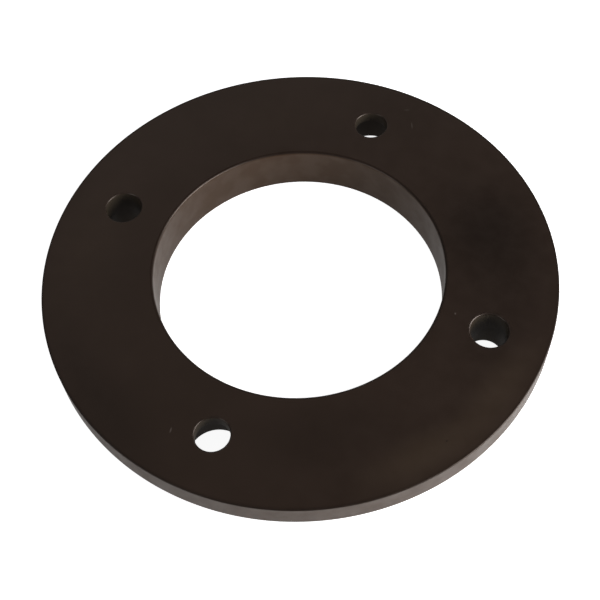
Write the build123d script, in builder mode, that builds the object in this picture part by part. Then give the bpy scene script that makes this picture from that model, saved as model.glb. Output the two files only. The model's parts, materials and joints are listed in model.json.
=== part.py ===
# Toilet flange: a thick one-piece ring that joins a toilet to the floor over the waste pipe.
#
# The ring stands on its underside. A shoulder below the rim drops into the opening in the floor,
# the rim overhangs the edge of that opening, and the toilet seals on the flat top face. Two plain
# holes take the floor bolts. Two holes at right angles to them take the closet bolts, whose heads
# sit in deep round recesses under a thin web.
#
# Millimetres and degrees, +Z up, origin at the centre of the underside.

from build123d import *
import os

# Radial sizes, from the bore outwards
bore_diameter = 101.0
bore_wall_to_bolt_axis = 18.25
bolt_axis_to_shoulder_wall = 14.25
rim_overhang = 5.9

# Heights
shoulder_depth = 7.9
rim_thickness = 9.8

# Plain holes for the floor bolts
floor_hole_diameter = 12.6
floor_hole_round = 0.6
floor_hole_bottom_chamfer = 0.3

# Holes for the closet bolts, each with a recess below for the bolt's head
closet_hole_diameter = 11.6
closet_hole_round = 0.5
closet_web_thickness = 4.0
head_recess_diameter = 19.6
head_recess_chamfer = 0.3

# Edges of the ring
bore_top_round = 1.0
bore_bottom_chamfer = 0.5
rim_top_round = 0.4
rim_bottom_round = 0.5
shoulder_corner_round = 0.8
shoulder_bottom_chamfer = 0.8

# Hole layout: each pair lies on one diameter, and the two diameters cross at right angles
holes_in_pair = 2
floor_pair_angle = 0.0
closet_pair_angle = 90.0

# Sizes that follow from the ones above
total_height = shoulder_depth + rim_thickness
bore_radius = bore_diameter / 2
bolt_circle_radius = bore_radius + bore_wall_to_bolt_axis
shoulder_radius = bolt_circle_radius + bolt_axis_to_shoulder_wall
rim_radius = shoulder_radius + rim_overhang
head_recess_depth = total_height - closet_web_thickness

top_face = Plane.XY.offset(total_height)
underside = Plane(origin=(0, 0, 0), z_dir=(0, 0, -1))

with BuildPart() as flange_ring:
    # Half section of the ring, turned round the bore axis
    with BuildSketch(Plane.XZ):
        with BuildLine():
            Polyline(
                (bore_radius, 0),
                (shoulder_radius, 0),
                (shoulder_radius, shoulder_depth),
                (rim_radius, shoulder_depth),
                (rim_radius, total_height),
                (bore_radius, total_height),
                close=True,
            )
        make_face()
    revolve(axis=Axis.Z)

    # The six round edges of the turned ring, by height and then from the bore outwards
    ring_edges = flange_ring.edges().filter_by(GeomType.CIRCLE).group_by(Axis.Z)
    bottom_edges = ring_edges[0].sort_by(SortBy.RADIUS)
    step_edges = ring_edges[1].sort_by(SortBy.RADIUS)
    top_edges = ring_edges[-1].sort_by(SortBy.RADIUS)
    chamfer(bottom_edges[0], length=bore_bottom_chamfer)
    chamfer(bottom_edges[-1], length=shoulder_bottom_chamfer)
    fillet(step_edges[0], radius=shoulder_corner_round)
    fillet(step_edges[-1], radius=rim_bottom_round)
    fillet(top_edges[0], radius=bore_top_round)
    fillet(top_edges[-1], radius=rim_top_round)

    # Floor bolt holes, straight through, with rounded mouths on the top face
    with Locations(top_face):
        with PolarLocations(bolt_circle_radius, holes_in_pair, floor_pair_angle):
            Hole(radius=floor_hole_diameter / 2)
    floor_hole_edges = flange_ring.edges(Select.LAST).filter_by(GeomType.CIRCLE)
    fillet(floor_hole_edges.group_by(Axis.Z)[-1], radius=floor_hole_round)
    chamfer(floor_hole_edges.group_by(Axis.Z)[0], length=floor_hole_bottom_chamfer)

    # Closet bolt holes, bored from the underside so that each head recess opens downwards
    with Locations(underside):
        with PolarLocations(bolt_circle_radius, holes_in_pair, closet_pair_angle):
            CounterBoreHole(
                radius=closet_hole_diameter / 2,
                counter_bore_radius=head_recess_diameter / 2,
                counter_bore_depth=head_recess_depth,
            )
    closet_hole_edges = flange_ring.edges(Select.LAST).filter_by(GeomType.CIRCLE)
    fillet(closet_hole_edges.group_by(Axis.Z)[-1], radius=closet_hole_round)
    chamfer(closet_hole_edges.group_by(Axis.Z)[0], length=head_recess_chamfer)

flange_ring.part.label = "flange_ring"

os.makedirs("parts", exist_ok=True)
export_step(flange_ring.part, "parts/flange_ring.step")
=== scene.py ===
"""Looks of the toilet flange: one moulded ring in dark satin plastic, in a plain soft studio.

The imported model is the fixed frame. The ring is made here as a clean four-sided mesh on the
sizes that the frame gives, and it stands for the CAD node of the same shape. Metres
throughout, +Z up, with the origin at the centre of the underside.
"""

import json
import logging
import math
from collections.abc import Iterable, Sequence
from dataclasses import dataclass
from enum import Enum

import bmesh
import bpy
from mathutils import Matrix, Vector


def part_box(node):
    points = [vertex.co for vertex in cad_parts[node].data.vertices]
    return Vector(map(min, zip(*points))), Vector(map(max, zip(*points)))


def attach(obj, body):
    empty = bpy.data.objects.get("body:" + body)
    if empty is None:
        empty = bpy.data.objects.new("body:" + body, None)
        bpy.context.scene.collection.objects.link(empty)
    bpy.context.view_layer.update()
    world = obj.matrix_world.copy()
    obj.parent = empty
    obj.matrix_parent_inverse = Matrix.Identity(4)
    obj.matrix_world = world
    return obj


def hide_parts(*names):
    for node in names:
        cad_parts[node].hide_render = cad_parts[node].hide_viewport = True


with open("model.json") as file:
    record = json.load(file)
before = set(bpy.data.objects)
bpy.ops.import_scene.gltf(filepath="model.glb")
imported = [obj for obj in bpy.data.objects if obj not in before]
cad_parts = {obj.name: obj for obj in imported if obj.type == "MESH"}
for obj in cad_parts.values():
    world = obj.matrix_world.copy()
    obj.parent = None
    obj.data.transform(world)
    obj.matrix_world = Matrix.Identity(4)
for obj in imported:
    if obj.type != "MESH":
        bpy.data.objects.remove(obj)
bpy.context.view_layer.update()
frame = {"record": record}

log = logging.getLogger("toilet_flange")

Station = tuple[float, float]
Colour = tuple[float, float, float]

MM = 0.001
CAD_NODE = "flange_ring"
BODY = "root"
EDGE_WEAR = "edge_wear"
PAINTED_LIT_WALL = "painted_lit_wall"
PAINTED_SHADE_EDGE = "painted_shade_edge"
HOLE_WALL = "hole_wall"
FLOOR_HOLE_ROUND = 0.6 * MM
CLOSET_HOLE_ROUND = 0.5 * MM
HOLE_BOTTOM_BEVEL = 0.3 * MM
CAMERA_AIM_X = 5.99 * MM
CAMERA_AIM_Y = -12.51 * MM


# ---------------------------------------------------------------- shapes


class EdgeStyle(Enum):
    """How the material turns a corner of a section."""

    SHARP = "sharp"
    BEVEL = "bevel"
    ROUND = "round"


@dataclass(frozen=True)
class Corner:
    """A corner of a section that is swept round an upright axis, given where its two straight sides
    would meet.
    """

    radius: float
    height: float
    size: float = 0.0
    style: EdgeStyle = EdgeStyle.SHARP

    def stations(self, before: "Corner", after: "Corner", round_steps: int) -> list[Station]:
        """Finds the points that turn this corner.

        Args:
            before: The corner that the section comes from.
            after: The corner that it goes on to.
            round_steps: How many straight pieces make up a rounded corner.

        Returns:
            The points from the side that comes in to the side that goes out.
        """
        here = Vector((self.radius, self.height))
        if self.style is EdgeStyle.SHARP:
            return [tuple(here)]
        back = (Vector((before.radius, before.height)) - here).normalized() * self.size
        on = (Vector((after.radius, after.height)) - here).normalized() * self.size
        if self.style is EdgeStyle.BEVEL:
            return [tuple(here + back), tuple(here + on)]
        turns = [math.pi / 2 * step / round_steps for step in range(round_steps + 1)]
        return [tuple(here + back * (1 - math.sin(t)) + on * (1 - math.cos(t))) for t in turns]


@dataclass(frozen=True)
class SectionLine:
    """A line of corners that is swept round an upright axis."""

    corners: tuple[Corner, ...]
    pitch: float
    support: float
    round_steps: int

    def stations(self) -> list[Station]:
        """Lists the points along the line, closer together beside its corners.

        Returns:
            The (radius, height) points from the first corner to the last.
        """
        first, last = self.corners[0], self.corners[-1]
        line: list[Station] = [(first.radius, first.height)]
        for before, here, after in zip(self.corners, self.corners[1:], self.corners[2:]):
            turn = here.stations(before, after, self.round_steps)
            line += self._straight(line[-1], turn[0]) + turn[1:]
        return line + self._straight(line[-1], (last.radius, last.height))

    def _straight(self, start: Station, end: Station) -> list[Station]:
        """Lists the points of a straight side after its start, none if it has no length."""
        a, b = Vector(start), Vector(end)
        length = (b - a).length
        if length < self.support / 10:
            return []
        return [tuple(a.lerp(b, s / length)) for s in side_steps(length, self.pitch, self.support)]


def side_steps(length: float, pitch: float, support: float) -> list[float]:
    """Divides a side so that its first and last steps are short, which keeps its shading flat.

    Args:
        length: The side's length.
        pitch: The longest step.
        support: The length of the first and last steps.

    Returns:
        The distances from the start, without 0 and with the length itself.
    """
    if length < 4 * support:
        return [length]
    count = max(1, math.ceil((length - 2 * support) / pitch))
    inner = [support + (length - 2 * support) * step / count for step in range(count + 1)]
    return [*inner, length]


class Skin:
    """A mesh made of grids of four-sided faces that are joined where they meet."""

    def __init__(self) -> None:
        """Starts an empty mesh."""
        self._mesh = bmesh.new()

    def grid(self, rows: Sequence[Sequence[Vector]], closed: bool = False) -> None:
        """Fills the faces between neighbouring rows of points.

        Args:
            rows: The rows, with the same number of points in each.
            closed: Whether the last point of a row joins its first.
        """
        made = [[self._mesh.verts.new(place) for place in row] for row in rows]
        for low, high in zip(made, made[1:]):
            self._strip(low, high, closed)

    def _strip(self, low: list, high: list, closed: bool) -> None:
        """Fills the faces between two rows of mesh points."""
        ends = [*low, low[0]] if closed else low
        tops = [*high, high[0]] if closed else high
        for a, b, c, d in zip(ends, ends[1:], tops[1:], tops):
            self._mesh.faces.new((a, b, c, d))

    def finish(self, name: str, weld: float, crease_deg: float) -> bpy.types.Object:
        """Joins the grids, turns every face outwards and makes the object.

        Args:
            name: The object's name.
            weld: Points nearer than this become one.
            crease_deg: Faces that meet at more than this angle keep a crisp line.

        Returns:
            The new object, linked to the scene.
        """
        bmesh.ops.remove_doubles(self._mesh, verts=self._mesh.verts, dist=weld)
        bmesh.ops.recalc_face_normals(self._mesh, faces=self._mesh.faces)
        mesh = bpy.data.meshes.new(name)
        self._mesh.to_mesh(mesh)
        self._mesh.free()
        mesh.shade_smooth()
        mesh.set_sharp_from_angle(angle=math.radians(crease_deg))
        piece = bpy.data.objects.new(name, mesh)
        bpy.context.scene.collection.objects.link(piece)
        return piece


@dataclass(frozen=True)
class RingGrid:
    """The columns that the ring is divided into, and the square patch left round each hole."""

    columns: int = 360
    patch_columns: int = 20
    patch_half_width: float = 12.0 * MM
    pitch: float = 1.25 * MM
    support: float = 0.22 * MM
    round_steps: int = 6

    def place(self, radius: float, height: float, column: float) -> Vector:
        """Gives the point at a radius and height on a column, counted from +X."""
        turn = 2 * math.pi * column / self.columns
        return Vector((radius * math.cos(turn), radius * math.sin(turn), height))

    def section(self, corners: Iterable[Corner]) -> list[Station]:
        """Gives the points of a section line with this grid's spacing."""
        line = SectionLine(tuple(corners), self.pitch, self.support, self.round_steps)
        return line.stations()


@dataclass(frozen=True)
class BoltHole:
    """One upright hole through the ring, with a rounded mouth on the top face.

    A hole with a head recess opens out below, at the height of the web left under the face.
    """

    angle_deg: float
    circle_radius: float
    radius: float
    mouth_round: float
    bottom_bevel: float
    recess_radius: float = 0.0
    web_height: float = 0.0

    @property
    def centre(self) -> Vector:
        """The hole's centre on the level of the underside."""
        turn = math.radians(self.angle_deg)
        return Vector((math.cos(turn), math.sin(turn), 0)) * self.circle_radius

    @property
    def bottom_radius(self) -> float:
        """The radius at the underside, which is the recess's if there is one."""
        return self.recess_radius or self.radius

    def corners(self, top: float) -> tuple[Corner, ...]:
        """Gives the hole's own section, from its mouth down to the underside.

        Args:
            top: The height of the top face.

        Returns:
            The corners, each with its finish.
        """
        mouth = (
            Corner(self.radius + self.mouth_round, top),
            Corner(self.radius, top, self.mouth_round, EdgeStyle.ROUND),
        )
        web = (
            Corner(self.radius, self.web_height),
            Corner(self.recess_radius, self.web_height),
        )
        bottom = (
            Corner(self.bottom_radius, 0.0, self.bottom_bevel, EdgeStyle.BEVEL),
            Corner(self.bottom_radius + self.bottom_bevel, 0.0),
        )
        return (*mouth, *web, *bottom) if self.recess_radius else (*mouth, *bottom)

    def ring(self, radius: float, height: float, count: int) -> list[Vector]:
        """Lists the points of a circle about the hole's axis, from its inner left corner."""
        start = math.radians(self.angle_deg + 225)
        turns = [start - 2 * math.pi * step / count for step in range(count)]
        lift = Vector((0, 0, height))
        return [
            self.centre + lift + Vector((math.cos(t), math.sin(t), 0)) * radius for t in turns
        ]

    def spans(self, place: Vector) -> bool:
        """Says whether a point lies within the hole, its mouth or its recess."""
        reach = self.bottom_radius + self.mouth_round + self.bottom_bevel
        return (place.xy - self.centre.xy).length < reach

    def patch_edge(self, grid: RingGrid, height: float) -> list[Vector]:
        """Lists the points round the square patch that the hole sits in.

        Args:
            grid: The ring's columns.
            height: The level of the face that the patch is in.

        Returns:
            The points, in the order of ring().
        """
        middle = self.angle_deg / 360 * grid.columns
        half, steps = grid.patch_columns / 2, grid.patch_columns
        inner = self.circle_radius - grid.patch_half_width
        outer = self.circle_radius + grid.patch_half_width
        along = [-half + step for step in range(steps)]
        radii = [inner + (outer - inner) * step / steps for step in range(steps)]
        corner_runs = (
            [(inner, middle + column) for column in along],
            [(radius, middle + half) for radius in radii],
            [(outer, middle - column) for column in along],
            [(outer + inner - radius, middle - half) for radius in radii],
        )
        return [grid.place(r, height, c) for run in corner_runs for r, c in run]


@dataclass(frozen=True)
class EdgeCircle:
    """A round edge of the ring, and how far beside it its wear or its painted shade reaches."""

    centre: Vector
    radius: float
    height: float
    reach: float

    def nearness(self, place: Vector) -> float:
        """Says how near a point is to this edge, from 0 past its reach to 1 on the edge."""
        across = (place.xy - self.centre.xy).length - self.radius
        away = math.hypot(across, place.z - self.height)
        return max(0.0, 1 - away / self.reach)


@dataclass
class FlangeRing:
    """The moulded ring: bore, rim, shoulder, two floor bolt holes and two closet bolt holes."""

    bore_radius: float
    shoulder_radius: float
    rim_radius: float
    height: float
    step_height: float
    holes: tuple[BoltHole, ...]
    grid: RingGrid = RingGrid()
    bore_top_round: float = 1.0 * MM
    bore_bottom_bevel: float = 0.5 * MM
    rim_top_round: float = 0.4 * MM
    rim_bottom_round: float = 0.5 * MM
    step_round: float = 0.8 * MM
    shoulder_bevel: float = 0.8 * MM
    wear_reach: float = 0.9 * MM
    # How far the painted shade on the upper edges of the bore and the rim reaches.
    shade_reach: float = 0.7 * MM
    weld: float = 0.001 * MM
    crease_deg: float = 35.0

    @classmethod
    def from_frame(cls, record: dict, low: Vector, high: Vector) -> "FlangeRing":
        """Takes the ring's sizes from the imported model.

        Args:
            record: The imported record, whose mounts give the bores, holes and faces.
            low: The lowest corner of the CAD node's box.
            high: Its highest corner.

        Returns:
            The ring, ready to build.
        """
        mounts = {mount["name"]: mount for mount in record["mounts"]}
        floor = mounts["floor_bolts"]["dims"]
        closet = mounts["closet_bolts"]["dims"]
        recess = mounts["closet_bolt_head_recess_back"]["dims"]
        web_height = mounts["closet_bolts"]["pos_m"][2]
        floor_holes = tuple(
            BoltHole(
                angle_deg=angle,
                circle_radius=floor["pcd_mm"] / 2 * MM,
                radius=floor["hole_r_mm"] * MM,
                mouth_round=FLOOR_HOLE_ROUND,
                bottom_bevel=HOLE_BOTTOM_BEVEL,
            )
            for angle in (0, 180)
        )
        closet_holes = tuple(
            BoltHole(
                angle_deg=angle,
                circle_radius=closet["pcd_mm"] / 2 * MM,
                radius=closet["hole_r_mm"] * MM,
                mouth_round=CLOSET_HOLE_ROUND,
                bottom_bevel=HOLE_BOTTOM_BEVEL,
                recess_radius=recess["r_mm"] * MM,
                web_height=web_height,
            )
            for angle in (90, 270)
        )
        return cls(
            bore_radius=mounts["waste_bore"]["dims"]["r_mm"] * MM,
            shoulder_radius=mounts["locating_shoulder"]["dims"]["r_mm"] * MM,
            rim_radius=high.x,
            height=high.z - low.z,
            step_height=mounts["rim_underside"]["pos_m"][2],
            holes=floor_holes + closet_holes,
        )

    def build(self, name: str) -> bpy.types.Object:
        """Makes the ring's mesh.

        Args:
            name: The piece's name.

        Returns:
            The piece, with the masks that its finish reads.
        """
        skin = Skin()
        self._turn(skin, self._bore_line())
        self._turn(skin, self._outer_line())
        underside_inner = self.bore_radius + self.bore_bottom_bevel
        underside_outer = self.shoulder_radius - self.shoulder_bevel
        face_inner = self.bore_radius + self.bore_top_round
        face_outer = self.rim_radius - self.rim_top_round
        self._flat(skin, 0.0, underside_inner, underside_outer)
        self._flat(skin, self.height, face_inner, face_outer)
        for hole in self.holes:
            self._bore_hole(skin, hole)
        piece = skin.finish(name, self.weld, self.crease_deg)
        self._mask(piece.data)
        weighted = piece.modifiers.new("face_weighted_shading", "WEIGHTED_NORMAL")
        weighted.keep_sharp = True
        return piece

    def _bore_line(self) -> list[Station]:
        """Gives the section of the bore, from the underside up to the top face."""
        return self.grid.section((
            Corner(self.bore_radius + self.bore_bottom_bevel, 0.0),
            Corner(self.bore_radius, 0.0, self.bore_bottom_bevel, EdgeStyle.BEVEL),
            Corner(self.bore_radius, self.height, self.bore_top_round, EdgeStyle.ROUND),
            Corner(self.bore_radius + self.bore_top_round, self.height),
        ))

    def _outer_line(self) -> list[Station]:
        """Gives the section of the rim and shoulder, from the top face to the underside."""
        return self.grid.section((
            Corner(self.rim_radius - self.rim_top_round, self.height),
            Corner(self.rim_radius, self.height, self.rim_top_round, EdgeStyle.ROUND),
            Corner(self.rim_radius, self.step_height, self.rim_bottom_round, EdgeStyle.ROUND),
            Corner(self.shoulder_radius, self.step_height, self.step_round, EdgeStyle.ROUND),
            Corner(self.shoulder_radius, 0.0, self.shoulder_bevel, EdgeStyle.BEVEL),
            Corner(self.shoulder_radius - self.shoulder_bevel, 0.0),
        ))

    def _turn(self, skin: Skin, line: list[Station]) -> None:
        """Turns a section line about the bore's axis."""
        columns = range(self.grid.columns)
        skin.grid([[self.grid.place(r, z, c) for c in columns] for r, z in line], closed=True)

    def _flat(self, skin: Skin, height: float, inner: float, outer: float) -> None:
        """Lays a flat face round the bore and leaves the square patch of each hole open.

        Args:
            skin: The mesh being made.
            height: The face's level.
            inner: The radius where the face starts.
            outer: The radius where it ends.
        """
        grid = self.grid
        patch_inner = self.holes[0].circle_radius - grid.patch_half_width
        patch_outer = self.holes[0].circle_radius + grid.patch_half_width
        steps = grid.patch_columns
        patch = [patch_inner + (patch_outer - patch_inner) * s / steps for s in range(steps + 1)]
        near = side_steps(patch_inner - inner, grid.pitch, grid.support)
        far = side_steps(outer - patch_outer, grid.pitch, grid.support)
        columns = range(grid.columns)
        for radii in ([inner] + [inner + s for s in near], [patch_outer + s for s in [0.0, *far]]):
            rows = [[grid.place(r, height, c) for c in columns] for r in radii]
            skin.grid(rows, closed=True)
        for start, end in self._columns_between_patches():
            span = range(start, end + 1)
            skin.grid([[grid.place(r, height, c) for c in span] for r in patch])

    def _columns_between_patches(self) -> list[tuple[int, int]]:
        """Lists the first and last column of each stretch between two holes."""
        half = self.grid.patch_columns // 2
        middles = sorted(round(h.angle_deg / 360 * self.grid.columns) for h in self.holes)
        following = [*middles[1:], middles[0] + self.grid.columns]
        return [(a + half, b - half) for a, b in zip(middles, following)]

    def _bore_hole(self, skin: Skin, hole: BoltHole) -> None:
        """Makes one hole, and the faces between its ends and its square patches."""
        count = 4 * self.grid.patch_columns
        line = self.grid.section(hole.corners(self.height))
        skin.grid([hole.ring(r, z, count) for r, z in line], closed=True)
        for radius, height in (line[0], line[-1]):
            circle = hole.ring(radius, height, count)
            edge = hole.patch_edge(self.grid, height)
            gap = self.grid.patch_half_width - radius
            shares = [0.0] + [s / gap for s in self._patch_steps(gap)]
            rows = [[a.lerp(b, share) for a, b in zip(circle, edge)] for share in shares]
            skin.grid(rows, closed=True)

    def _patch_steps(self, gap: float) -> list[float]:
        """Divides the gap between a hole and its patch's edge, with a short first step."""
        support = self.grid.support
        count = max(1, round((gap - support) / self.grid.pitch))
        return [support + (gap - support) * step / count for step in range(count + 1)]

    def _worn_edges(self) -> list[EdgeCircle]:
        """Lists the round edges that wear paler."""
        axis = Vector((0, 0, 0))
        places = [
            (axis, self.bore_radius, 0.0),
            (axis, self.bore_radius, self.height),
            (axis, self.rim_radius, self.height),
            (axis, self.rim_radius, self.step_height),
            (axis, self.shoulder_radius, 0.0),
        ]
        for hole in self.holes:
            places.append((hole.centre, hole.radius, self.height))
            places.append((hole.centre, hole.bottom_radius, 0.0))
        return [EdgeCircle(centre, r, z, self.wear_reach) for centre, r, z in places]

    def _painted_shade_edges(self) -> list[EdgeCircle]:
        """Lists the upper edges of the bore and the rim, which get painted shade and a duller shine.
        """
        axis = Vector((0, 0, 0))
        radii = (self.bore_radius + self.bore_top_round / 2, self.rim_radius - self.rim_top_round / 2)
        return [EdgeCircle(axis, radius, self.height, self.shade_reach) for radius in radii]

    def _mask(self, mesh: bpy.types.Mesh) -> None:
        """Writes the masks that the finish reads: worn edges, upper edges with painted shade, walls
        with painted light, and hole walls.
        """
        worn, shade_edges = self._worn_edges(), self._painted_shade_edges()
        wear = [max(edge.nearness(v.co) for edge in worn) for v in mesh.vertices]
        edge_shade = [max(edge.nearness(v.co) for edge in shade_edges) for v in mesh.vertices]
        upright = [1 - abs(v.normal.z) for v in mesh.vertices]
        in_hole = [self._in_hole(v.co) for v in mesh.vertices]
        masks = {
            EDGE_WEAR: wear,
            # painted shade: the upper edges of the bore and the rim
            PAINTED_SHADE_EDGE: edge_shade,
            # painted light: the walls outside the holes, which the finish paints paler as if lit by
            # the pale floor
            PAINTED_LIT_WALL: [0.0 if inside else up for up, inside in zip(upright, in_hole)],
            HOLE_WALL: [up if inside else 0.0 for up, inside in zip(upright, in_hole)],
        }
        for name, values in masks.items():
            mask = mesh.attributes.new(name, "FLOAT", "POINT")
            mask.data.foreach_set("value", values)

    def _in_hole(self, place: Vector) -> bool:
        """Says whether a point belongs to one of the bolt holes."""
        return any(hole.spans(place) for hole in self.holes)

    def dress(self, piece: bpy.types.Object, finish: "SatinPlastic") -> None:
        """Gives the piece its plastic."""
        piece.data.materials.append(finish.material())


# ---------------------------------------------------------------- finishes


class NodeBench:
    """Lays out a material's nodes one after another and links them."""

    def __init__(self, material: bpy.types.Material) -> None:
        """Clears the material's nodes.

        Args:
            material: The material whose nodes are made here.
        """
        material.use_nodes = True
        self.tree = material.node_tree
        self.tree.nodes.clear()
        self.place = self.add("ShaderNodeTexCoord").outputs["Object"]

    def add(self, kind: str, **settings: object) -> bpy.types.Node:
        """Adds a node and sets its own options.

        Args:
            kind: The node's type.
            **settings: Options of the node, by name.

        Returns:
            The new node.
        """
        node = self.tree.nodes.new(kind)
        for name, value in settings.items():
            setattr(node, name, value)
        return node

    def feed(self, socket: bpy.types.NodeSocket, value: object) -> None:
        """Links a socket to another, or sets it to a plain value."""
        if isinstance(value, bpy.types.NodeSocket):
            self.tree.links.new(value, socket)
        else:
            socket.default_value = value

    def noise(self, size: float, detail: float, rough: float) -> bpy.types.NodeSocket:
        """Adds a cloudy pattern that follows the piece's own coordinates.

        Args:
            size: The width of its clouds, in metres.
            detail: How many finer layers it has.
            rough: How strong the finer layers are.

        Returns:
            The pattern's value, about 0 to 1.
        """
        node = self.add("ShaderNodeTexNoise")
        self.feed(node.inputs["Vector"], self.place)
        node.inputs["Scale"].default_value = 1 / size
        node.inputs["Detail"].default_value = detail
        node.inputs["Roughness"].default_value = rough
        return node.outputs["Fac"]

    def spread(self, value: bpy.types.NodeSocket, low: float, high: float,
               to_low: float = 0.0, to_high: float = 1.0) -> bpy.types.NodeSocket:
        """Maps a value smoothly from one range to another and holds it there.

        Args:
            value: What is mapped.
            low: Where the range starts.
            high: Where it ends.
            to_low: What the start becomes.
            to_high: What the end becomes.

        Returns:
            The mapped value.
        """
        node = self.add("ShaderNodeMapRange", interpolation_type="SMOOTHSTEP")
        for name, number in (("From Min", low), ("From Max", high),
                             ("To Min", to_low), ("To Max", to_high)):
            node.inputs[name].default_value = number
        self.feed(node.inputs["Value"], value)
        return node.outputs["Result"]

    def maths(self, operation: str, a: object, b: object) -> bpy.types.NodeSocket:
        """Combines two values.

        Args:
            operation: The sum to do, such as MULTIPLY.
            a: The first value or socket.
            b: The second value or socket.

        Returns:
            The result.
        """
        node = self.add("ShaderNodeMath", operation=operation)
        self.feed(node.inputs[0], a)
        self.feed(node.inputs[1], b)
        return node.outputs[0]

    def blend(self, share: object, a: object, b: object) -> bpy.types.NodeSocket:
        """Mixes two colours.

        Args:
            share: How much of the second colour shows, from 0 to 1.
            a: The first colour or socket.
            b: The second colour or socket.

        Returns:
            The mixed colour.
        """
        node = self.add("ShaderNodeMix", data_type="RGBA")
        self.feed(node.inputs["Factor"], share)
        for socket, colour in ((node.inputs[6], a), (node.inputs[7], b)):
            self.feed(socket, colour if isinstance(colour, bpy.types.NodeSocket) else (*colour, 1))
        return node.outputs[2]

    def mask(self, name: str) -> bpy.types.NodeSocket:
        """Reads one of the piece's own masks."""
        return self.add("ShaderNodeAttribute", attribute_name=name).outputs["Fac"]

    def bump(self, height: bpy.types.NodeSocket, depth: float,
             normal: bpy.types.NodeSocket | None = None) -> bpy.types.NodeSocket:
        """Raises a fine relief.

        Args:
            height: The relief's height, from 0 to 1.
            depth: The height of 1, in metres.
            normal: The relief that it is laid over, if any.

        Returns:
            The relief's normal.
        """
        node = self.add("ShaderNodeBump")
        node.inputs["Distance"].default_value = depth
        self.feed(node.inputs["Height"], height)
        if normal:
            self.feed(node.inputs["Normal"], normal)
        return node.outputs["Normal"]


class MarkTone(Enum):
    """How a mark changes the plastic's colour."""

    # A pale soft patch: a painted highlight.
    PAINTED_HIGHLIGHT = "pale"
    # A dark patch: a painted dark reflection; also the colour of one small speck.
    DARK_REFLECTION_AND_SPECK = "dark"
    SCUFFED = "scuffed"


@dataclass(frozen=True)
class Mark:
    """A mark on the top face, with its length along the rim: a small scuff or speck, or a broad soft
    patch of painted reflection or painted highlight.

    Its place across the face runs from 0 at the bore to 1 at the rim.
    """

    angle_deg: float
    across: float
    length: float
    width: float
    strength: float
    tone: MarkTone = MarkTone.PAINTED_HIGHLIGHT
    turn_deg: float = 0.0
    soft_from: float = 0.3

    def mask(self, bench: NodeBench, face: "FlangeRing") -> bpy.types.NodeSocket:
        """Adds the mark's own soft-edged mask.

        Args:
            bench: The material's nodes.
            face: The ring whose top face the mark is on.

        Returns:
            The mark's strength at its middle, falling to 0 at its edge.
        """
        angle = math.radians(self.angle_deg)
        radius = face.bore_radius + (face.rim_radius - face.bore_radius) * self.across
        centre = Vector((math.cos(angle), math.sin(angle), 0)) * radius
        centre.z = face.height
        move = bench.add("ShaderNodeVectorMath", operation="SUBTRACT")
        bench.feed(move.inputs[0], bench.place)
        move.inputs[1].default_value = centre
        turn = bench.add("ShaderNodeVectorRotate", rotation_type="Z_AXIS")
        bench.feed(turn.inputs["Vector"], move.outputs[0])
        turn.inputs["Angle"].default_value = -math.radians(self.angle_deg + 90 + self.turn_deg)
        shrink = bench.add("ShaderNodeVectorMath", operation="MULTIPLY")
        bench.feed(shrink.inputs[0], turn.outputs[0])
        shrink.inputs[1].default_value = (2 / self.length, 2 / self.width, 1 / MM)
        away = bench.add("ShaderNodeVectorMath", operation="LENGTH")
        bench.feed(away.inputs[0], shrink.outputs[0])
        core = bench.spread(away.outputs["Value"], 1.0, self.soft_from)
        return bench.maths("MULTIPLY", core, self.strength)


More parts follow.
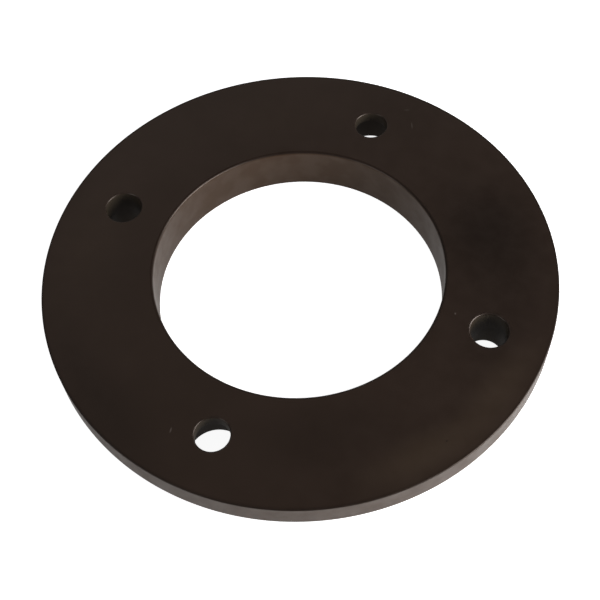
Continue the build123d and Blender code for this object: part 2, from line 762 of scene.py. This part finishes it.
@dataclass(frozen=True)
class SatinPlastic:
    """Dark brown-black moulded plastic with a fine grain, faint clouding and rubbed edges, painted
    shade on its duller upper edges, walls painted paler as if lit, and painted reflections on its top
    face.
    """

    name: str
    ring: FlangeRing
    deep: Colour = (0.0145, 0.0088, 0.0062)
    soft: Colour = (0.0200, 0.0124, 0.0092)
    # Painted light: the walls get a paler, patchy copy of the plastic, which stands for the light
    # they catch from the pale floor.
    lit_wall_colour: Colour = (0.0330, 0.0185, 0.0108)
    lit_wall_colour_pale: Colour = (0.0370, 0.0245, 0.0178)
    # The next colour paints pale highlight patches on the top face. The dark colour paints the shade
    # on the upper edges and dark reflection patches on the top face, and also colours one small
    # speck.
    highlight_colour: Colour = (0.0420, 0.0285, 0.0185)
    dark: Colour = (0.0050, 0.0030, 0.0024)
    rubbed: Colour = (0.060, 0.046, 0.039)
    dust: Colour = (0.120, 0.100, 0.088)
    roughness: float = 0.36
    drilled: Colour = (0.0320, 0.0250, 0.0175)
    shine_tint: Colour = (1.0, 0.74, 0.60)
    lit_wall_tint: Colour = (1.0, 0.66, 0.44)
    edge_tint: Colour = (1.0, 0.85, 0.76)
    lit_wall_patch: float = 9.0 * MM
    shine: float = 0.5
    dull_share: float = 0.68
    dull_shade: float = 0.2
    drilled_share: float = 0.5
    drilled_rougher: float = 0.12
    grain_size: float = 0.35 * MM
    grain_depth: float = 0.006 * MM
    cloud_size: float = 38.0 * MM
    mottle_size: float = 6.0 * MM
    mottle_depth: float = 0.01 * MM
    mottle_share: float = 0.3
    roughness_swing: float = 0.04
    rub_size: float = 2.2 * MM
    rub_share: float = 0.12
    rub_rougher: float = 0.15
    speck_spacing: float = 3.2 * MM
    speck_share: float = 0.4
    wall_shine_low: float = -0.05
    wall_shine_high: float = 0.07
    ior: float = 1.5
    marks: tuple[Mark, ...] = ()

    def material(self) -> bpy.types.Material:
        """Makes the finish.

        Returns:
            The material, whose patterns follow the piece's own coordinates.
        """
        material = bpy.data.materials.new(self.name)
        bench = NodeBench(material)
        shader = bench.add("ShaderNodeBsdfPrincipled")
        out = bench.add("ShaderNodeOutputMaterial")
        bench.feed(out.inputs["Surface"], shader.outputs[0])

        cloud = bench.spread(bench.noise(self.cloud_size, 3.0, 0.6), 0.3, 0.7)
        mottle = bench.noise(self.mottle_size, 4.0, 0.6)
        grain = bench.noise(self.grain_size, 2.0, 0.55)
        colour = bench.blend(cloud, self.deep, self.soft)
        mottled = bench.spread(mottle, 0.35, 0.75, 0.0, self.mottle_share)
        colour = bench.blend(mottled, colour, self.soft)

        # Painted light: the upright walls take the paler, patchy wall colours, as if lit by the
        # floor.
        wall = bench.spread(bench.mask(PAINTED_LIT_WALL), 0.3, 0.9)
        patch = bench.spread(bench.noise(self.lit_wall_patch, 2.0, 0.55), 0.34, 0.68)
        colour = bench.blend(wall, colour, bench.blend(patch, self.lit_wall_colour, self.lit_wall_colour_pale))
        hole = bench.spread(bench.mask(HOLE_WALL), 0.6, 0.95)
        colour = bench.blend(hole, colour, self.drilled)
        # Painted shade: the upper edges of the bore and the rim are darkened towards the dark colour,
        # and their shine is lowered further down.
        edge_shade = bench.spread(bench.mask(PAINTED_SHADE_EDGE), 0.05, 0.6)
        colour = bench.blend(bench.maths("MULTIPLY", edge_shade, self.dull_shade), colour, self.dark)

        rub = self._rub(bench)
        colour = bench.blend(rub, colour, self.rubbed)
        specks = self._specks(bench)
        colour = bench.blend(specks, colour, self.dust)
        # Broad soft marks are painted reflections and painted highlights on the top face; the small
        # ones are scuffs and a speck.
        tones = {MarkTone.PAINTED_HIGHLIGHT: self.highlight_colour, MarkTone.DARK_REFLECTION_AND_SPECK: self.dark, MarkTone.SCUFFED: self.dust}
        for mark in self.marks:
            share = mark.mask(bench, self.ring)
            colour = bench.blend(share, colour, tones[mark.tone])
        bench.feed(shader.inputs["Base Color"], colour)

        smooth, rough = self.roughness - self.roughness_swing, self.roughness + self.roughness_swing
        uneven = bench.spread(mottle, 0.3, 0.7, smooth, rough)
        worn = bench.maths("MULTIPLY", rub, self.rub_rougher)
        rougher = bench.maths("ADD", worn, bench.maths("MULTIPLY", hole, self.drilled_rougher))
        bench.feed(shader.inputs["Roughness"], bench.maths("ADD", uneven, rougher))
        relief = bench.bump(mottle, self.mottle_depth)
        relief = bench.bump(grain, self.grain_depth, relief)
        bench.feed(shader.inputs["Normal"], relief)
        tint = bench.blend(wall, self.shine_tint, self.lit_wall_tint)
        tint = bench.blend(bench.spread(bench.mask(EDGE_WEAR), 0.2, 0.6), tint, self.edge_tint)
        bench.feed(shader.inputs["Specular Tint"], tint)
        patchy = bench.spread(patch, 0.0, 1.0, self.wall_shine_low, self.wall_shine_high)
        wall_shine = bench.maths("MULTIPLY", wall, patchy)
        even_shine = bench.maths("ADD", wall_shine, self.shine)
        kept = bench.spread(edge_shade, 0.0, 1.0, 1.0, self.dull_share)
        kept = bench.maths("MULTIPLY", kept, bench.spread(hole, 0.0, 1.0, 1.0, self.drilled_share))
        bench.feed(shader.inputs["Specular IOR Level"], bench.maths("MULTIPLY", kept, even_shine))
        shader.inputs["IOR"].default_value = self.ior
        return material

    def _rub(self, bench: NodeBench) -> bpy.types.NodeSocket:
        """Gives how far the edges are rubbed paler, broken up as handling does it."""
        patchy = bench.spread(bench.noise(self.rub_size, 4.0, 0.65), 0.42, 0.72)
        edge = bench.spread(bench.mask(EDGE_WEAR), 0.25, 0.95)
        return bench.maths("MULTIPLY", bench.maths("MULTIPLY", edge, patchy), self.rub_share)

    def _specks(self, bench: NodeBench) -> bpy.types.NodeSocket:
        """Gives a few fine specks of dust."""
        cells = bench.add("ShaderNodeTexVoronoi")
        bench.feed(cells.inputs["Vector"], bench.place)
        cells.inputs["Scale"].default_value = 1 / self.speck_spacing
        dot = bench.spread(cells.outputs["Distance"], 0.045, 0.02)
        few = bench.add("ShaderNodeSeparateColor")
        bench.feed(few.inputs[0], cells.outputs["Color"])
        chosen = bench.spread(few.outputs[0], 0.9, 0.95)
        return bench.maths("MULTIPLY", bench.maths("MULTIPLY", dot, chosen), self.speck_share)


# ---------------------------------------------------------------- studio


@dataclass(frozen=True)
class SoftBox:
    """A soft studio light that points at the object."""

    name: str
    azimuth_deg: float
    elevation_deg: float
    distance: float
    width: float
    height: float
    power: float

    def hang(self, aim: Vector) -> bpy.types.Object:
        """Hangs the light.

        Args:
            aim: The point that it faces.

        Returns:
            The light, which the camera doesn't see.
        """
        lamp = bpy.data.lights.new(self.name, "AREA")
        lamp.shape = "RECTANGLE"
        lamp.size, lamp.size_y = self.width, self.height
        lamp.energy = self.power
        box = bpy.data.objects.new(self.name, lamp)
        back = direction(self.azimuth_deg, self.elevation_deg)
        box.location = aim + back * self.distance
        box.rotation_mode = "QUATERNION"
        box.rotation_quaternion = back.to_track_quat("Z", "Y")
        box.visible_camera = False
        bpy.context.scene.collection.objects.link(box)
        return box


@dataclass(frozen=True)
class Studio:
    """A plain pale floor, soft light and the camera."""

    aim: Vector
    lights: tuple[SoftBox, ...]
    floor_span: float = 6.0
    floor_colour: Colour = (0.86, 0.86, 0.86)
    floor_glow: float = 0.24
    floor_paleness: float = 0.93
    surround: float = 0.117
    backdrop: float = 0.95
    camera_azimuth_deg: float = 26.85
    camera_elevation_deg: float = 57.82
    camera_roll_deg: float = -4.18
    camera_distance: float = 364.2 * MM
    lens_mm: float = 64.55

    def build(self) -> None:
        """Lays the floor, hangs the lights and stands the camera."""
        self._floor()
        self._world()
        for light in self.lights:
            light.hang(Vector((0, 0, 0)))
        self._camera()
        bpy.context.scene.view_settings.view_transform = "Standard"

    def _floor(self) -> None:
        """Lays a plain pale floor that glows softly, as a studio's light table does."""
        mesh = bpy.data.meshes.new("studio_floor")
        made = bmesh.new()
        bmesh.ops.create_grid(made, x_segments=8, y_segments=8, size=self.floor_span / 2)
        made.to_mesh(mesh)
        made.free()
        floor = bpy.data.objects.new("studio_floor", mesh)
        bpy.context.scene.collection.objects.link(floor)
        material = bpy.data.materials.new("pale_floor")
        bench = NodeBench(material)
        shader = bench.add("ShaderNodeBsdfPrincipled")
        out = bench.add("ShaderNodeOutputMaterial")
        bench.feed(out.inputs["Surface"], shader.outputs[0])
        shader.inputs["Base Color"].default_value = (*self.floor_colour, 1)
        shader.inputs["Roughness"].default_value = 1.0
        shader.inputs["Specular IOR Level"].default_value = 0.0
        shader.inputs["Emission Color"].default_value = (1, 1, 1, 1)
        seen = bench.add("ShaderNodeLightPath").outputs["Is Camera Ray"]
        glow = bench.spread(seen, 0.0, 1.0, self.floor_glow, self.floor_paleness)
        bench.feed(shader.inputs["Emission Strength"], glow)
        mesh.materials.append(material)

    def _world(self) -> None:
        """Sets a dim surround that lights the object, and a pale backdrop for the eye."""
        world = bpy.data.worlds.new("studio")
        world.use_nodes = True
        nodes, links = world.node_tree.nodes, world.node_tree.links
        nodes.clear()
        path = nodes.new("ShaderNodeLightPath")
        dim, pale = nodes.new("ShaderNodeBackground"), nodes.new("ShaderNodeBackground")
        dim.inputs["Color"].default_value = (self.surround,) * 3 + (1,)
        pale.inputs["Color"].default_value = (self.backdrop,) * 3 + (1,)
        choice = nodes.new("ShaderNodeMixShader")
        out = nodes.new("ShaderNodeOutputWorld")
        links.new(path.outputs["Is Camera Ray"], choice.inputs[0])
        links.new(dim.outputs[0], choice.inputs[1])
        links.new(pale.outputs[0], choice.inputs[2])
        links.new(choice.outputs[0], out.inputs["Surface"])
        bpy.context.scene.world = world

    def _camera(self) -> None:
        """Stands the camera."""
        camera = bpy.data.objects.new("camera", bpy.data.cameras.new("camera"))
        camera.data.lens = self.lens_mm
        camera.data.clip_start, camera.data.clip_end = 0.01, 50.0
        back = direction(self.camera_azimuth_deg, self.camera_elevation_deg)
        roll = Matrix.Rotation(math.radians(self.camera_roll_deg), 3, "Z")
        facing = back.to_track_quat("Z", "Y").to_matrix() @ roll
        camera.rotation_mode = "QUATERNION"
        camera.rotation_quaternion = facing.to_quaternion()
        camera.location = self.aim + back * self.camera_distance
        bpy.context.scene.collection.objects.link(camera)
        bpy.context.scene.camera = camera


def direction(azimuth_deg: float, elevation_deg: float) -> Vector:
    """Gives the direction from the object to something that stands round it.

    Args:
        azimuth_deg: The turn about the object, 0 in front and 90 to the right.
        elevation_deg: The angle above the floor.

    Returns:
        A vector of length 1.
    """
    turn, lift = math.radians(azimuth_deg), math.radians(elevation_deg)
    level = math.cos(lift)
    return Vector((math.sin(turn) * level, -math.cos(turn) * level, math.sin(lift)))


# Painted reflections: the broad soft dark patches and the pale ones on the top face stand for
# reflections and highlights; the four small scuffed marks and the last small dark one are real scuffs
# and a speck.
PAINTED_REFLECTIONS_AND_SCUFFS = (
    Mark(35.0, 0.45, 62.0 * MM, 56.0 * MM, 0.80, tone=MarkTone.DARK_REFLECTION_AND_SPECK, soft_from=0.0),
    Mark(10.0, 0.55, 90.0 * MM, 54.0 * MM, 0.45, tone=MarkTone.DARK_REFLECTION_AND_SPECK, soft_from=0.0),
    Mark(-60.0, 0.35, 90.0 * MM, 34.0 * MM, 0.30, tone=MarkTone.DARK_REFLECTION_AND_SPECK, soft_from=0.0),
    Mark(-120.0, 0.80, 100.0 * MM, 30.0 * MM, 0.60, tone=MarkTone.DARK_REFLECTION_AND_SPECK, soft_from=0.0),
    Mark(-15.0, 0.80, 62.0 * MM, 20.0 * MM, 0.42, soft_from=0.0),
    Mark(-38.0, 0.80, 62.0 * MM, 20.0 * MM, 0.55, soft_from=0.0),
    Mark(-170.0, 0.60, 90.0 * MM, 34.0 * MM, 0.16, soft_from=0.0),
    Mark(120.0, 0.50, 90.0 * MM, 36.0 * MM, 0.10, soft_from=0.0),
    Mark(83.0, 0.80, 3.2 * MM, 0.60 * MM, 0.25, tone=MarkTone.SCUFFED, turn_deg=30.0),
    Mark(79.0, 0.65, 4.4 * MM, 0.60 * MM, 0.35, tone=MarkTone.SCUFFED, turn_deg=125.0),
    Mark(2.0, 0.15, 1.2 * MM, 0.80 * MM, 0.50, tone=MarkTone.SCUFFED, turn_deg=20.0),
    Mark(-100.0, 0.60, 2.6 * MM, 0.70 * MM, 0.55, tone=MarkTone.SCUFFED, turn_deg=110.0),
    Mark(-32.0, 0.80, 1.2 * MM, 0.6 * MM, 1.0, tone=MarkTone.DARK_REFLECTION_AND_SPECK),
)

LIGHTS = (
    SoftBox("key_light", azimuth_deg=100.0, elevation_deg=21.0, distance=0.45,
            width=0.4, height=0.3, power=3.2),
    SoftBox("right_panel", azimuth_deg=80.0, elevation_deg=14.0, distance=0.6,
            width=0.4, height=0.2, power=0.6),
    SoftBox("left_panel", azimuth_deg=238.0, elevation_deg=55.0, distance=1.2,
            width=0.6, height=0.8, power=0.45),
    SoftBox("far_panel", azimuth_deg=205.0, elevation_deg=34.0, distance=1.2,
            width=0.8, height=0.3, power=0.4),
    SoftBox("low_left_panel", azimuth_deg=328.0, elevation_deg=19.0, distance=0.9,
            width=0.5, height=0.3, power=1.7),
)


def main() -> None:
    """Builds the ring and the studio, and reports each piece."""
    logging.basicConfig(level=logging.INFO, format="%(name)s: %(message)s")
    low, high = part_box(CAD_NODE)
    ring = FlangeRing.from_frame(frame["record"], low, high)
    piece = ring.build("moulded_flange_ring")
    ring.dress(piece, SatinPlastic("dark_satin_plastic", ring, marks=PAINTED_REFLECTIONS_AND_SCUFFS))
    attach(piece, BODY)
    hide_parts(CAD_NODE)
    log.info("%s: %d points, %d faces", piece.name, len(piece.data.vertices),
             len(piece.data.polygons))
    Studio(Vector((CAMERA_AIM_X, CAMERA_AIM_Y, ring.height)), LIGHTS).build()


if __name__ == "__main__":
    main()
